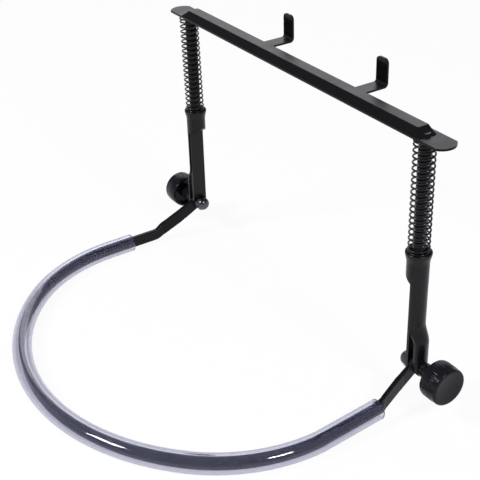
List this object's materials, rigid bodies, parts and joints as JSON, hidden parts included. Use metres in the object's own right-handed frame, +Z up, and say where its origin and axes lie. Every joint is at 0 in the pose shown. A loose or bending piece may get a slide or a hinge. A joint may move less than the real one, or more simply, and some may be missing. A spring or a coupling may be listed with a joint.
{
  "type": "harmonica holder",
  "caption": "Neck-worn harmonica holder: sleeved U-shaped neck band, tilting arms on thumb-knob pivots, and a spring-loaded clamp rail with back prongs.",
  "frame": {"origin": "on the ground plane, at the middle of the bounding box's bottom face", "axes": "+Z up with the arms upright; +X along the rail, from the end far from the camera to the near one; +Y from the closed front of the neck band to the pivots and prongs"},
  "size_m": [0.2668, 0.1859, 0.1679],
  "materials": {
    "band_steel": "satin black",
    "clear_hose": "clear and glossy, with a faint lavender tint",
    "gloss_black_steel": "gloss black",
    "satin_black_steel": "satin black",
    "rod_steel": "smooth black",
    "spring_steel": "blackened wire",
    "screw_steel": "plated",
    "black_nickel": "bright black nickel",
    "knob_plastic": "moulded, matt with a faint sheen"
  },
  "bodies": {
    "yoke": {"neck_band": "band_steel", "neck_sleeve": "clear_hose"},
    "frame": {"upper_jaw": "gloss_black_steel", "left_arm": "satin_black_steel", "left_rod": "rod_steel", "left_spring": "spring_steel", "left_washer": "screw_steel", "left_cap_nut": "black_nickel", "right_arm": "satin_black_steel", "right_rod": "rod_steel", "right_spring": "spring_steel", "right_washer": "screw_steel", "right_cap_nut": "black_nickel"},
    "jaw": {"lower_jaw": "gloss_black_steel"},
    "knob_left": {"left_knob": "knob_plastic", "left_pivot_screw": "screw_steel"},
    "knob_right": {"right_knob": "knob_plastic", "right_pivot_screw": "screw_steel"}
  },
  "joints": [
    {"name": "frame_tilt", "type": "hinge", "parent": "yoke", "child": "frame", "pos_m": [0, 0.07505, 0.0229], "axis": [1, 0, 0], "range_deg": [-45, 90]},
    {"name": "jaw_slide", "type": "slide", "parent": "frame", "child": "jaw", "axis": [0, 0, -1], "range_m": [0, 0.025], "stiffness_N_per_m": 1690, "springref_m": -0.003, "deforming": ["left_spring", "right_spring"]},
    {"name": "left_knob_turn", "type": "hinge", "parent": "frame", "child": "knob_left", "pos_m": [-0.1252, 0.07505, 0.0229], "axis": [-1, 0, 0], "range_deg": [0, 360]},
    {"name": "right_knob_turn", "type": "hinge", "parent": "frame", "child": "knob_right", "pos_m": [0.1252, 0.07505, 0.0229], "axis": [1, 0, 0], "range_deg": [0, 360]}
  ]
}
